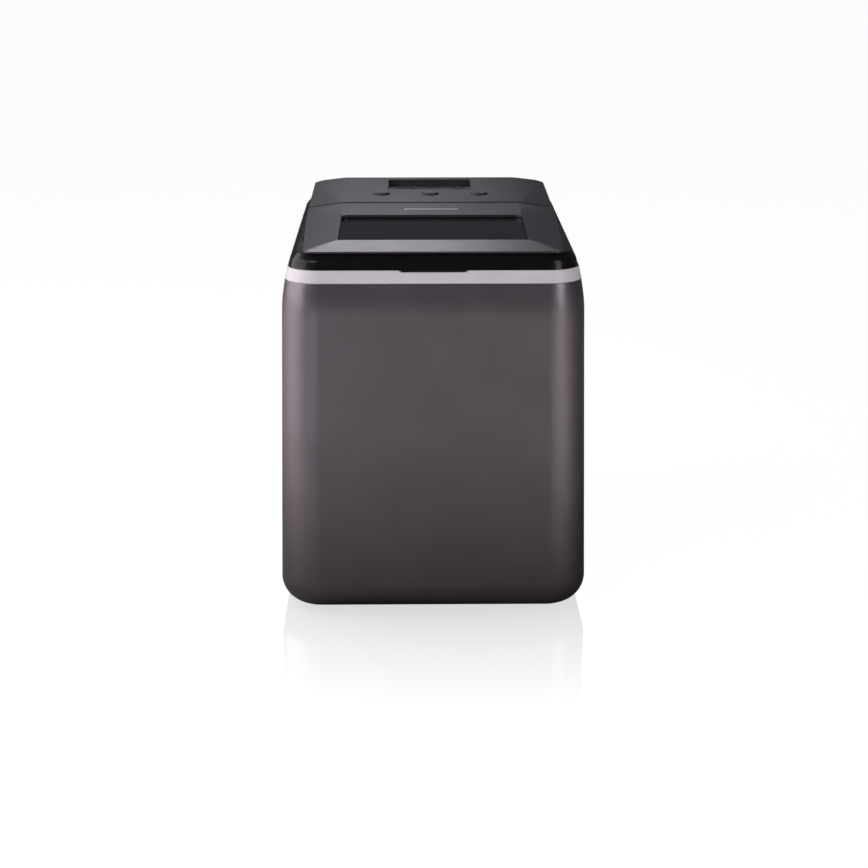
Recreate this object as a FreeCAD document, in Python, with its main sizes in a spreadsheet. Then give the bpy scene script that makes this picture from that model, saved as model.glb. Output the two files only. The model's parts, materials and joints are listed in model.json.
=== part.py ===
"""Countertop ice maker: a rounded housing with a hinged lid over an ice bin, and the cooling machinery behind it.

Frame: origin at the centre of the outline at table height, +X to the user's right, +Y to the rear, +Z up, in
millimetres. The front of the housing faces -Y.
"""

import math
import os
import re

import FreeCAD, Part
import Sketcher

doc = FreeCAD.newDocument("IceMaker")

# ---------------------------------------------------------------------------------------------------------------
# Driving dimensions
# ---------------------------------------------------------------------------------------------------------------

DIMENSIONS = {
    # Housing
    "width": 246.0,
    "depth": 349.0,
    "height": 307.6,
    "foot_height": 3.0,
    "foot_radius": 11.0,
    "wall": 2.2,
    "corner_round": 34.0,
    "base_round": 22.0,
    "lip_in": 27.0,
    "shoulder_level": 251.0,
    "shoulder_in": 3.5,
    "shoulder_round": 110.0,
    "shell_top": 269.0,
    "shell_top_in": 6.2,
    # Light band and black frame round the top
    "band_top": 279.0,
    "band_top_in": 8.2,
    "band_wall": 2.4,
    "notch_half": 28.5,
    "notch_drop": 1.5,
    "frame_foot_in": 9.0,
    "frame_bend_level": 286.0,
    "frame_bend_in": 10.6,
    "frame_top": 291.3,
    "frame_lip_in": 14.8,
    "ledge_in": 24.0,
    "ledge_reach": 4.0,
    # Crowned top, split into the lid and the control cover
    "top_in": 13.0,
    "top_half_front": 101.4,
    "top_half_middle": 105.6,
    "top_half_back": 105.0,
    "top_wall": 2.2,
    "lid_base": 291.8,
    "lid_edge": 293.0,
    "crest_in": 42.0,
    "crest_level": 297.6,
    "crest_half": 75.4,
    "side_fall": 0.135,
    "lid_back": 29.5,
    "cover_front": 33.0,
    "hinge_back": 26.5,
    "hinge_level": 297.0,
    "pin_radius": 1.5,
    "knuckle_radius": 3.2,
    # Window, buttons and display
    "window_long": 105.5,
    "window_round": 6.0,
    "button_back": 72.3,
    "button_radius": 7.4,
    "button_pitch": 43.2,
    "button_proud": 1.5,
    "display_half": 37.4,
    "display_front": 94.5,
    "display_long": 51.5,
    # Ice bin
    "bin_half": 94.7,
    "bin_front": -146.2,
    "bin_back": 24.0,
    "bin_floor": 60.0,
    "bin_wall": 2.2,
    "bin_round": 14.0,
    "flange_top": 288.0,
    "foam_half": 110.0,
    "foam_back": 38.0,
    "foam_floor": 50.0,
    # Basket
    "basket_half": 84.0,
    "basket_front": -140.0,
    "basket_back": -76.0,
    "basket_floor": 127.3,
    "basket_top": 212.0,
    "basket_wall": 2.0,
    # Freezing unit
    "tray_back": -16.0,
    "tray_level": 248.0,
    "tray_radius": 29.0,
    "tray_wall": 2.0,
    "tray_half": 78.0,
    "finger_radius": 4.5,
    "finger_tip": 228.0,
    "shovel_back": -51.0,
    "shovel_level": 266.0,
    # Machine bay
    "compressor_x": -48.0,
    "compressor_y": 100.0,
    "compressor_radius": 44.0,
    "compressor_foot": 18.0,
    "compressor_top": 150.0,
    "fan_y": 100.0,
    "fan_level": 76.0,
    "fan_radius": 43.0,
    "condenser_x": 97.0,
    "drain_x": 18.0,
    "drain_level": 70.0,
    "gland_x": 60.0,
    "gland_level": 50.0,
    "gland_bore": 3.5,
}

sheet = doc.addObject("Spreadsheet::Sheet", "Dims")
for row, (alias, value) in enumerate(DIMENSIONS.items(), start=1):
    sheet.set(f"A{row}", alias)
    sheet.set(f"B{row}", str(value))
    sheet.setAlias(f"B{row}", alias)
doc.recompute()

FRONT = "(-depth/2)"
BACK = "(depth/2)"
CREST_Y = f"({FRONT} + crest_in)"
TOP_BACK = f"({BACK} - top_in)"
RISE = f"((height - crest_level)/({TOP_BACK} - {CREST_Y}))"


def crest(y):
    """Formula for the level of the crown's middle at depth y."""
    return f"(crest_level + (({y}) - {CREST_Y})*{RISE})"


# ---------------------------------------------------------------------------------------------------------------
# Helpers: every size is a formula of the sheet's words
# ---------------------------------------------------------------------------------------------------------------

FUNCTIONS = ("sin", "cos", "tan", "atan", "sqrt")


def bound(formula):
    """The formula with each plain word turned into its cell of the sheet."""

    def cell(match):
        word = match.group(0)
        return word if word in FUNCTIONS else f"Dims.{word}"

    return re.sub(r"[a-z_]+", cell, str(formula))


def value_of(formula):
    """The formula's value now, for first guesses and for shapes made in code."""
    return float(sheet.evalExpression(bound(formula)))


def place(item, at, turn_axis=None, turn=0.0):
    """Bind an object's position to three formulas, after an optional fixed turn in degrees."""
    if turn_axis:
        item.Placement = FreeCAD.Placement(FreeCAD.Vector(), FreeCAD.Rotation(FreeCAD.Vector(*turn_axis), turn))
    for axis, formula in zip("xyz", at):
        item.setExpression(f"Placement.Base.{axis}", bound(formula))
    return item


def tilt_with_crest(item, y=CREST_Y, z="crest_level"):
    """Lay an object on the crown's rising middle plane: its local Y runs back along the plane."""
    item.Placement = FreeCAD.Placement(FreeCAD.Vector(), FreeCAD.Rotation(FreeCAD.Vector(1, 0, 0), 1))
    item.setExpression("Placement.Rotation.Angle", bound(f"atan({RISE})"))
    item.setExpression("Placement.Base.y", bound(y))
    item.setExpression("Placement.Base.z", bound(z))
    return item


def rectangle(u0, v0, u1, v1, rounding=None):
    """Outline of a rectangle between two corners, each corner rounded if asked."""
    return [(u0, v0, rounding), (u1, v0, rounding), (u1, v1, rounding), (u0, v1, rounding)]


def circle(u, v, radius):
    return {"centre": (u, v), "radius": radius}


def draw_circle(sketch, outline):
    u, v = (value_of(f) for f in outline["centre"])
    shape = Part.Circle(FreeCAD.Vector(u, v, 0), FreeCAD.Vector(0, 0, 1), value_of(outline["radius"]))
    number = sketch.addGeometry(shape, False)
    for kind, formula, size in (("DistanceX", outline["centre"][0], u), ("DistanceY", outline["centre"][1], v)):
        drive(sketch, Sketcher.Constraint(kind, -1, 1, number, 3, size), formula)
    drive(sketch, Sketcher.Constraint("Radius", number, shape.Radius), outline["radius"])


def drive(sketch, constraint, formula):
    """Add a constraint and bind it to a formula of the sheet."""
    number = sketch.addConstraint(constraint)
    name = f"size{number}"
    sketch.renameConstraint(number, name)
    sketch.setExpression(f"Constraints.{name}", bound(formula))


def corner_points(outline):
    """For each corner: where its rounding starts and ends, its centre and the side it turns to."""
    points = [FreeCAD.Vector(value_of(c[0]), value_of(c[1]), 0) for c in outline]
    corners = []
    for number, corner in enumerate(outline):
        here = points[number]
        into = (here - points[number - 1]).normalize()
        away = (points[(number + 1) % len(points)] - here).normalize()
        rounding = value_of(corner[2]) if len(corner) > 2 and corner[2] is not None else 0.0
        side = 1 if into.cross(away).z > 0 else -1
        run = rounding * math.tan(into.getAngle(away) / 2)
        centre = here - into * run + FreeCAD.Vector(-into.y, into.x, 0) * rounding * side
        corners.append((here, here - into * run, here + away * run, centre, rounding, side))
    return corners


def draw_outline(sketch, outline):
    """A closed outline of straight runs with rounded corners, each corner placed by two formulas."""
    corners = corner_points(outline)
    count = len(corners)
    lines = []
    for number, corner in enumerate(corners):
        following = corners[(number + 1) % count]
        lines.append(sketch.addGeometry(Part.LineSegment(corner[2], following[1]), False))
    for number, (here, start, end, centre, rounding, side) in enumerate(corners):
        before, after = lines[number - 1], lines[number]
        if not rounding:
            sketch.addConstraint(Sketcher.Constraint("Coincident", before, 2, after, 1))
            target = (after, 1)
        else:
            first, last = (start, end) if side > 0 else (end, start)
            angles = [math.atan2(p.y - centre.y, p.x - centre.x) for p in (first, last)]
            ring = Part.Circle(centre, FreeCAD.Vector(0, 0, 1), rounding)
            arc = sketch.addGeometry(Part.ArcOfCircle(ring, angles[0], angles[1]), False)
            near, far = (1, 2) if side > 0 else (2, 1)
            mark = sketch.addGeometry(Part.Point(here), True)
            sketch.addConstraint(
                [
                    Sketcher.Constraint("Tangent", before, 2, arc, near),
                    Sketcher.Constraint("Tangent", arc, far, after, 1),
                    Sketcher.Constraint("PointOnObject", mark, 1, before),
                    Sketcher.Constraint("PointOnObject", mark, 1, after),
                ]
            )
            drive(sketch, Sketcher.Constraint("Radius", arc, rounding), outline[number][2])
            target = (mark, 1)
        for kind, formula, size in (("DistanceX", outline[number][0], here.x), ("DistanceY", outline[number][1], here.y)):
            drive(sketch, Sketcher.Constraint(kind, -1, 1, *target, size), formula)


class Piece:
    """A PartDesign body built up feature by feature."""

    def __init__(self, label):
        self.body = doc.addObject("PartDesign::Body", label)
        self.body.Label = label
        self.body.AllowCompound = True
        self.features = 0

    def sketch(self, plane, outlines, offset="0"):
        """A sketch on one of the body's own planes, moved along the plane's normal."""
        self.features += 1
        sketch = self.body.newObject("Sketcher::SketchObject", f"{self.body.Name}_sketch{self.features}")
        origin = [o for o in self.body.Origin.OriginFeatures if o.Role == f"{plane}_Plane"][0]
        sketch.AttachmentSupport = [(origin, "")]
        sketch.MapMode = "FlatFace"
        sketch.setExpression("AttachmentOffset.Base.z", bound(offset))
        for outline in outlines:
            if isinstance(outline, dict):
                draw_circle(sketch, outline)
            else:
                draw_outline(sketch, outline)
        return sketch

    def between(self, plane, outlines, low, high, kind):
        """A pad or pocket that fills the outlines from one level to another along the plane's axis."""
        offset = f"-({high})" if plane == "XZ" else f"{low}"
        sketch = self.sketch(plane, outlines, offset)
        feature = self.body.newObject(f"PartDesign::{kind}", f"{self.body.Name}_{kind}{self.features}")
        feature.Profile = sketch
        feature.setExpression("Length", bound(f"({high}) - ({low})"))
        feature.Reversed = kind == "Pocket"
        return feature

    def add(self, plane, outlines, low, high):
        return self.between(plane, outlines, low, high, "Pad")

    def cut(self, plane, outlines, low, high):
        return self.between(plane, outlines, low, high, "Pocket")

    def sweep(self, profile, path):
        """A ring: the profile, drawn in the XZ plane, carried round the path in the XY plane."""
        spine = self.sketch("XY", [path])
        outline = self.sketch("XZ", [profile])
        feature = self.body.newObject("PartDesign::AdditivePipe", f"{self.body.Name}_ring")
        feature.Profile = outline
        feature.Spine = (spine, [f"Edge{n + 1}" for n in range(len(path) * 2 - 1)])
        feature.Mode = "Frenet"
        return feature

    def turned(self, profile):
        """A solid of revolution about the body's own Z axis, from a half profile in the XZ plane."""
        sketch = self.sketch("XZ", [profile])
        feature = self.body.newObject("PartDesign::Revolution", f"{self.body.Name}_turned")
        feature.Profile = sketch
        feature.ReferenceAxis = (sketch, ["V_Axis"])
        feature.Angle = 360
        return feature

    def repeat(self, feature, axis, length, count):
        """A row of copies of the last feature along one of the body's axes."""
        row = self.body.newObject("PartDesign::LinearPattern", f"{self.body.Name}_row{self.features}")
        row.Originals = [feature]
        direction = [o for o in self.body.Origin.OriginFeatures if o.Role == f"{axis}_Axis"][0]
        row.Direction = (direction, [""])
        row.setExpression("Length", bound(length))
        row.Occurrences = count
        self.body.Tip = row
        return row


nodes = {}


def node(label, item):
    """Name an object as one of the machine's separate pieces."""
    item.Label = label
    nodes[label] = item
    return item


def block(name, low, high):
    """A box between two corners given as formulas."""
    box = doc.addObject("Part::Box", name)
    for side, a, b in zip(("Length", "Width", "Height"), low, high):
        box.setExpression(side, bound(f"({b}) - ({a})"))
    return place(box, low)


AXIS_TURNS = {"x": ((0, 1, 0), 90), "y": ((1, 0, 0), -90), "z": (None, 0)}


def rod(name, at, radius, length, axis="z"):
    """A cylinder that starts at a point and runs along +X, +Y or +Z."""
    cylinder = doc.addObject("Part::Cylinder", name)
    cylinder.setExpression("Radius", bound(radius))
    cylinder.setExpression("Height", bound(length))
    turn_axis, turn = AXIS_TURNS[axis]
    return place(cylinder, at, turn_axis, turn)


def fuse(name, *items):
    joined = doc.addObject("Part::MultiFuse", name)
    joined.Shapes = list(items)
    return joined


def common(name, *items):
    shared = doc.addObject("Part::MultiCommon", name)
    shared.Shapes = list(items)
    return shared


def cut(name, base, *tools):
    """The base with each tool taken away in turn."""
    for number, tool in enumerate(tools):
        piece = doc.addObject("Part::Cut", f"{name}_{number}")
        piece.Base = base
        piece.Tool = tool
        base = piece
    return base


def group(name, items):
    compound = doc.addObject("Part::Compound", name)
    compound.Links = list(items)
    return compound


def tube(name, points, radius, bend, bore=0.0):
    """A bent tube through the points: straight runs joined by tangent arcs. Its shape is made in code."""
    corners = [FreeCAD.Vector(*(value_of(c) for c in p)) for p in points]
    edges = []
    start = corners[0]
    for before, corner, after in zip(corners, corners[1:], corners[2:]):
        into = (corner - before).normalize()
        away = (after - corner).normalize()
        run = bend * math.tan(into.getAngle(away) / 2)
        first = corner - into * run
        last = corner + away * run
        middle = corner + (away - into).normalize() * (bend / math.cos(into.getAngle(away) / 2) - bend)
        edges.append(Part.LineSegment(start, first).toShape())
        edges.append(Part.Arc(first, middle, last).toShape())
        start = last
    edges.append(Part.LineSegment(start, corners[-1]).toShape())
    path = Part.Wire(edges)
    direction = corners[1] - corners[0]

    def swept(size):
        section = Part.Wire(Part.makeCircle(size, corners[0], direction))
        return path.makePipeShell([section], True, True)

    shape = swept(radius)
    if bore:
        shape = shape.cut(swept(bore))
    item = doc.addObject("Part::Feature", name)
    item.Shape = shape
    return item


# ---------------------------------------------------------------------------------------------------------------
# Housing
# ---------------------------------------------------------------------------------------------------------------


def ring_path():
    """The housing's outline, starting half way along its right side."""
    x, y, r = "width/2", "depth/2", "corner_round"
    return [(x, "0"), (x, y, r), (f"-{x}", y, r), (f"-{x}", f"-{y}", r), (x, f"-{y}", r)]


def ring(label, profile):
    """A ring round the housing. The profile's points are (distance inside the widest outline, level, rounding)."""
    piece = Piece(label)
    piece.sweep([(f"width/2 - ({p[0]})", *p[1:]) for p in profile], ring_path())
    return piece


VENT = {"front": "50", "back": "140", "low": "60", "high": "180"}
REAR = {"half": "80", "low": "30", "high": "240"}


def body_shell():
    shell = ring(
        "shell_ring",
        [
            ("lip_in", "foot_height"),
            ("0", "foot_height", "base_round"),
            ("shoulder_in", "shoulder_level", "shoulder_round"),
            ("shell_top_in", "shell_top"),
            ("shell_top_in + wall", "shell_top"),
            ("shoulder_in + wall", "shoulder_level", "shoulder_round - wall"),
            ("wall", "foot_height + wall", "base_round - wall"),
            ("lip_in", "foot_height + wall"),
        ],
    )
    shell.cut("YZ", [rectangle(VENT["front"], VENT["low"], VENT["back"], VENT["high"], "4")], "-width", "width")
    shell.cut("XZ", [rectangle(f"-{REAR['half']}", REAR["low"], REAR["half"], REAR["high"], "4")], "100", "depth")
    node("body_shell", shell.body)


def base_pan():
    pan = Piece("pan")
    hole = rectangle("-width/2 + lip_in + 0.3", f"{FRONT} + lip_in + 0.3", "width/2 - lip_in - 0.3",
                     f"{BACK} - lip_in - 0.3", "corner_round - lip_in")
    seat = rectangle("-width/2 + base_round + 0.3", f"{FRONT} + base_round + 0.3", "width/2 - base_round - 0.3",
                     f"{BACK} - base_round - 0.3", "corner_round - base_round")
    pan.add("XY", [hole], "foot_height", "foot_height + wall")
    pan.add("XY", [seat], "foot_height + wall", "foot_height + wall + 2.5")
    node("base_pan", pan.body)


PAN_TOP = "(foot_height + wall + 2.5)"


def rubber_feet():
    feet = []
    for side in (-80, 80):
        for back in (-130, 130):
            feet.append(rod("foot", (f"{side}", f"{back}", "0"), "foot_radius", "foot_height"))
    node("rubber_feet", group("feet", feet))


def side_grille(label, side):
    """A louvred plate behind the vent opening. It is drawn for the right side and placed for the left."""
    grille = Piece(label)
    low, high = ("115.6", "118") if side > 0 else ("-118", "-115.6")
    proud = ("118", "119.8") if side > 0 else ("-119.8", "-118")
    grille.add("YZ", [rectangle("47", "54", "143", "186", "3")], low, high)
    face = rectangle(f"{VENT['front']} + 0.5", f"{VENT['low']} + 0.5", f"{VENT['back']} - 0.5",
                     f"{VENT['high']} - 0.5", "3.5")
    grille.add("YZ", [face], *proud)
    slot = grille.cut("YZ", [rectangle("57", "68", "133", "72", "1.9")], "-width/2" if side < 0 else "0",
                      "0" if side < 0 else "width/2")
    grille.repeat(slot, "Z", "100", 13)
    node(label, grille.body)


def rear_panel():
    panel = Piece("rear_plate")
    panel.add("XZ", [rectangle("-88", "22", "88", "248", "3")], "165.8", "168.2")
    face = rectangle(f"-{REAR['half']} + 0.5", f"{REAR['low']} + 0.5", f"{REAR['half']} - 0.5",
                     f"{REAR['high']} - 0.5", "3.5")
    panel.add("XZ", [face], "168.2", "170.5")
    for left, right in (("-66", "-4"), ("4", "66")):
        slot = panel.cut("XZ", [rectangle(left, "122", right, "126", "1.9")], "150", "depth/2")
        panel.repeat(slot, "Z", "98", 13)
    panel.cut("XZ", [circle("gland_x", "gland_level", "8"), circle("drain_x", "drain_level", "12")], "150", "depth/2")
    node("rear_panel", panel.body)


def rear_screws():
    screws = []
    for side in (-74, 74):
        for level in (38, 136, 232):
            head = rod("screw_head", (f"{side}", "170.5", f"{level}"), "3.2", "1.4", "y")
            slot = block("screw_slot", (f"{side} - 2.4", "171.2", f"{level} - 0.4"),
                         (f"{side} + 2.4", "173", f"{level} + 0.4"))
            cross = block("screw_cross", (f"{side} - 0.4", "171.2", f"{level} - 2.4"),
                          (f"{side} + 0.4", "173", f"{level} + 2.4"))
            screws.append(cut("screw", head, slot, cross))
    node("rear_screws", group("rear_screw_set", screws))


def trim_band():
    band = ring(
        "band_ring",
        [
            ("shell_top_in", "shell_top", "0.3"),
            ("band_top_in", "band_top", "0.5"),
            ("band_top_in + band_wall", "band_top"),
            ("shell_top_in + band_wall", "shell_top"),
        ],
    )
    notch = [("-notch_half", "band_top + 1"), ("-notch_half + 3", "band_top - notch_drop", "2"),
             ("notch_half - 3", "band_top - notch_drop", "2"), ("notch_half", "band_top + 1")]
    band.cut("XZ", [notch], "-depth", "-100")
    node("trim_band", band.body)


def top_frame():
    """The black frame: a slim leaning skirt, a flat rim under the lid's edge and a ledge that carries the bin."""
    frame = ring(
        "frame_ring",
        [
            ("frame_foot_in", "band_top"),
            ("frame_bend_in", "frame_bend_level", "7"),
            ("frame_lip_in", "frame_top", "1.5"),
            ("ledge_in", "frame_top"),
            ("ledge_in", "flange_top - 2"),
            ("ledge_in + ledge_reach", "flange_top - 2"),
            ("ledge_in + ledge_reach", "flange_top - 4"),
            ("ledge_in - 2", "flange_top - 4"),
            ("ledge_in - 2", "frame_top - 2.2"),
            ("frame_lip_in + 1", "frame_top - 2.2"),
            ("frame_bend_in + 2.2", "frame_bend_level - 0.8"),
            ("frame_foot_in + 2.2", "band_top"),
        ],
    )
    tab = Piece("finger_tab")
    tab.add("XZ", [[("-notch_half + 2", "band_top"), ("-notch_half + 4.4", "band_top - notch_drop + 0.1", "1.6"),
                    ("notch_half - 4.4", "band_top - notch_drop + 0.1", "1.6"), ("notch_half - 2", "band_top")]],
            f"{FRONT} + frame_foot_in + 0.2", f"{FRONT} + frame_foot_in + 1.4")
    node("top_frame", fuse("frame_with_tab", frame.body, tab.body))


# ---------------------------------------------------------------------------------------------------------------
# Crowned top: lid and control cover
# ---------------------------------------------------------------------------------------------------------------


def plan_outline(inset):
    """The top's outline from above: slightly bowed sides and rounded corners, drawn inset by a formula."""
    front, back = f"{FRONT} + top_in + {inset}", f"{TOP_BACK} - {inset}"
    right = [(f"top_half_front - {inset}", front, f"8 - {inset}"), (f"top_half_middle - {inset}", "-15", "3000"),
             (f"top_half_back - {inset}", back, f"11 - {inset}")]
    left = [(f"-({x})", y, r) for x, y, r in reversed(right)]
    return right + left


def crown(name, profile, inset):
    """A solid bounded by the plan outline, a side profile and a roof whose sides fall to the edges."""
    plan = Piece(f"{name}_plan")
    plan.add("XY", [plan_outline(inset)], "280", "330")
    side = Piece(f"{name}_side")
    side.add("YZ", [profile], "-width/2", "width/2")
    roof = Piece(f"{name}_roof")
    drop = f"(width/2 - crest_half)*side_fall + {inset}"
    roof.add("XZ", [[("0", f"crest_half*side_fall - {inset}"), ("-width/2", f"-({drop}) "), ("-width/2", "-40"),
                     ("width/2", "-40"), ("width/2", f"-({drop})")]], "-60", "depth")
    tilt_with_crest(roof.body)
    return common(name, plan.body, side.body, roof.body)


def lid_shell():
    front = f"{FRONT} + top_in"
    outer = crown("lid_outer", [(front, "lid_base"), (front, "lid_edge", "0.8"), (CREST_Y, "crest_level", "9"),
                                ("lid_back", crest("lid_back"), "2"), ("lid_back", "lid_base", "2")], "0")
    inner = crown("lid_inner", [(f"{front} + top_wall", "lid_base - 1"), (f"{front} + top_wall", "lid_edge - 1"),
                                (CREST_Y, "crest_level - top_wall"),
                                ("lid_back + 1", f"{crest('lid_back + 1')} - top_wall"),
                                ("lid_back + 1", "lid_base - 1")], "top_wall")
    hole = Piece("window_hole")
    low, high = "crest_in - depth/2", "crest_in - depth/2 + window_long"
    hole.add("XY", [[("-crest_half", low), ("crest_half", low), ("crest_half", high, "window_round"),
                     ("-crest_half", high, "window_round")]], "280", "330")
    skin = cut("lid_skin", outer, inner, hole.body)
    ears = []
    for side in (-1, 1):
        for near, far in ((62, 70), (78, 86)):
            low_x = min(side * near, side * far)
            barrel = rod("lid_knuckle", (f"{low_x}", "hinge_back", "hinge_level"), "knuckle_radius", "8", "x")
            web = block("lid_web", (f"{low_x}", "hinge_back - knuckle_radius", "hinge_level"),
                        (f"{low_x} + 8", "hinge_back + 2.8", "hinge_level + 3.6"))
            ears.append(common("lid_ear", fuse("lid_ear_solid", barrel, web), outer))
    bore = rod("lid_bore", ("-100", "hinge_back", "hinge_level"), "pin_radius + 0.05", "200", "x")
    node("lid_shell", cut("lid_bored", fuse("lid_with_ears", skin, *ears), bore))


def lid_window():
    """Smoked pane, bonded under the lid's skin so that the skin stands as a step round it."""
    pane = Piece("pane")
    pane.add("XY", [rectangle("-crest_half - 2", "0.6", "crest_half + 2", "window_long + 4", "5")],
             "-top_wall - 2.5", "-top_wall - 0.45")
    node("lid_window", tilt_with_crest(pane.body))


def lid_liner():
    liner = Piece("liner")
    outer = rectangle("-94", "-147", "94", "17", "8")
    opening = rectangle("-74", f"{CREST_Y} + 6", "74", f"{CREST_Y} + window_long - 5", "4")
    liner.add("XY", [outer, opening], "290", "291.6")
    liner.add("XY", [rectangle("-77", f"{CREST_Y} + 4", "77", f"{CREST_Y} + window_long - 3", "5"), opening],
              "291.6", "292.8")
    node("lid_liner", liner.body)


def lid_seal():
    seal = Piece("seal")
    seal.add("XY", [rectangle("-97", "-148.6", "97", "21", "11"), rectangle("-92.6", "-144.2", "92.6", "16.6", "8")],
             "flange_top + 0.3", "290")
    node("lid_seal", seal.body)


def lid_mark():
    """A plain raised pill in place of a name."""
    mark = Piece("mark")
    middle = "172 - crest_in"
    mark.add("XY", [rectangle("-23", f"{middle} - 1.3", "23", f"{middle} + 1.3", "1.25")], "0", "0.5")
    node("lid_mark", tilt_with_crest(mark.body))


def hinge():
    brackets = []
    pins = []
    for side in (-1, 1):
        low_x = min(side * 70.3, side * 77.7)
        post = block("hinge_post", (f"{low_x}", "hinge_back - knuckle_radius", "flange_top"),
                     (f"{low_x} + 7.4", "hinge_back + knuckle_radius", "hinge_level"))
        knuckle = rod("hinge_knuckle", (f"{low_x}", "hinge_back", "hinge_level"), "knuckle_radius", "7.4", "x")
        bore = rod("hinge_bore", (f"{low_x} - 1", "hinge_back", "hinge_level"), "pin_radius + 0.02", "10", "x")
        brackets.append(cut("hinge_bracket", fuse("hinge_solid", post, knuckle), bore))
        low_pin = min(side * 62, side * 86)
        pins.append(rod("hinge_pin", (f"{low_pin}", "hinge_back", "hinge_level"), "pin_radius", "24", "x"))
    node("hinge_brackets", group("bracket_pair", brackets))
    node("hinge_pins", group("pin_pair", pins))


def control_cover():
    back = TOP_BACK
    outer = crown("cover_outer", [("cover_front", "frame_top"), ("cover_front", crest("cover_front"), "0.8"),
                                  (back, f"{crest(back)}", "4"), (back, "frame_top")], "0")
    front_in, back_in = "cover_front + top_wall", f"{back} - top_wall"
    inner = crown("cover_inner", [(front_in, "frame_top - 1"), (front_in, f"{crest(front_in)} - top_wall"),
                                  (back_in, f"{crest(back_in)} - top_wall"), (back_in, "frame_top - 1")], "top_wall")
    tools = Piece("cover_holes")
    spots = [circle(f"{n}*button_pitch", "button_back", "button_radius + 0.35") for n in (-1, 0, 1)]
    recess = rectangle("-display_half", "display_front", "display_half", "display_front + display_long", "1.5")
    tools.add("XY", spots + [recess], "285", "330")
    skin = cut("cover_skin", outer, inner, tools.body)
    bosses = []
    for x in (-64, 64):
        for y in (66, 82):
            boss = rod("cover_boss", (f"{x}", f"{y}", "289.6"), "3", "14", "z")
            bosses.append(common("cover_boss_cut", boss, outer))
            bosses.append(rod("cover_boss_low", (f"{x}", f"{y}", "289.6"), "3", "4", "z"))
    node("control_cover", fuse("cover_with_bosses", skin, *bosses))


def buttons():
    """Three round keys. Each has a rounded cap, a collar under the cover and a stem above its switch."""
    for number, label in ((-1, "button_power"), (0, "button_select"), (1, "button_clean")):
        top = f"{crest('button_back')} + button_proud"
        key = Piece(f"{label}_key")
        key.turned([("0", "296"), ("2.5", "296"), ("2.5", "298.4"), ("9.6", "298.4"), ("9.6", "300.9"),
                    ("button_radius", "300.9"), ("button_radius", top, "1.1"), ("5.6", top, "3"),
                    ("0", f"{top} - 0.45")])
        place(key.body, (f"{number}*button_pitch", "button_back", "0"))
        node(label, key.body)


def button_board():
    board = block("button_pcb", ("-70", "61", "288"), ("70", "87", "289.6"))
    switches = []
    for number in (-1, 0, 1):
        low = (f"{number}*button_pitch - 3", "button_back - 3", "289.6")
        high = (f"{number}*button_pitch + 3", "button_back + 3", "293.2")
        switches.append(block("switch_case", low, high))
        switches.append(rod("switch_tip", (f"{number}*button_pitch", "button_back", "293.2"), "1.7", "1.2"))
    node("button_board", fuse("button_board_solid", board, *switches))


def display():
    """A sunk display: the bezel's floor starts level with the cover and falls away to the rear."""
    near, far = "display_front + depth/2 - crest_in", "display_front + depth/2 - crest_in + display_long"
    bezel = Piece("bezel")
    bezel.add("YZ", [[(f"{near} - 2.5", "-10"), (f"{far} + 2.5", "-10"), (f"{far} + 2.5", "-top_wall - 0.1"),
                      (f"{far} - 0.5", "-top_wall - 0.1"), (f"{far} - 0.5", "-6.4"), (f"{near} + 0.8", "-0.2"),
                      (f"{near} + 0.8", "-top_wall - 0.1"), (f"{near} - 2.5", "-top_wall - 0.1")]],
              "-display_half + 0.3", "display_half - 0.3")
    for low, high in (("-display_half - 2", "-display_half + 0.3"), ("display_half - 0.3", "display_half + 2")):
        bezel.add("YZ", [rectangle(f"{near} - 2.5", "-10", f"{far} + 2.5", "-top_wall - 0.1")], low, high)
    node("display_bezel", tilt_with_crest(bezel.body))
    fall = "6.2/(display_long - 1.3)"
    lens = Piece("lens")
    lens.add("YZ", [[(f"{near} + 16", f"-0.2 - 15.2*{fall}"), (f"{far} - 4", f"-6.4 + 3.5*{fall}"),
                     (f"{far} - 4", f"-5.8 + 3.5*{fall}"), (f"{near} + 16", f"0.4 - 15.2*{fall}")]], "-31", "31")
    node("display_lens", tilt_with_crest(lens.body))
    board = Piece("display_pcb")
    board.add("XY", [rectangle("-36", f"{near} + 4", "36", f"{far} - 4")], "-12.6", "-11")
    board.add("XY", [rectangle("-24", f"{near} + 14", "24", f"{near} + 32")], "-11", "-10.05")
    node("display_board", tilt_with_crest(board.body))


# ---------------------------------------------------------------------------------------------------------------
# Ice bin and freezing unit
# ---------------------------------------------------------------------------------------------------------------


def inner_tub():
    tub = Piece("tub")
    wall = rectangle("-bin_half", "bin_front", "bin_half", "bin_back", "bin_round")
    inside = rectangle("-bin_half + bin_wall", "bin_front + bin_wall", "bin_half - bin_wall", "bin_back - bin_wall",
                       "bin_round - bin_wall")
    flange = rectangle("-bin_half - 4", "bin_front - 4", "bin_half + 4", "bin_back + 7.3", "12")
    tub.add("XY", [wall], "bin_floor", "flange_top - 2")
    tub.add("XY", [flange], "flange_top - 2", "flange_top")
    tub.cut("XY", [inside], "bin_floor + bin_wall", "flange_top")
    pipes = [circle("-50", "274", "4.3"), circle("50", "274", "4.3"), circle("drain_x", "drain_level", "6.05")]
    tub.cut("XZ", [pipes[0], pipes[1], pipes[2]], "0", "bin_back + 5")
    node("inner_tub", tub.body)


def tub_foam():
    foam = Piece("foam")
    front = f"{FRONT} + width/2 - foam_half - 0.5"
    foam.add("XY", [rectangle("-foam_half", front, "foam_half", "foam_back", "26")], "foam_floor", "flange_top - 4.3")
    foam.cut("XY", [rectangle("-bin_half - 0.3", "bin_front - 0.3", "bin_half + 0.3", "bin_back + 0.3",
                              "bin_round + 0.3")], "bin_floor - 0.3", "flange_top")
    foam.cut("XZ", [circle("-50", "274", "4.6"), circle("50", "274", "4.6"),
                    circle("drain_x", "drain_level", "6.3")], "bin_back - 2", "foam_back + 5")
    node("tub_foam", foam.body)


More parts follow.
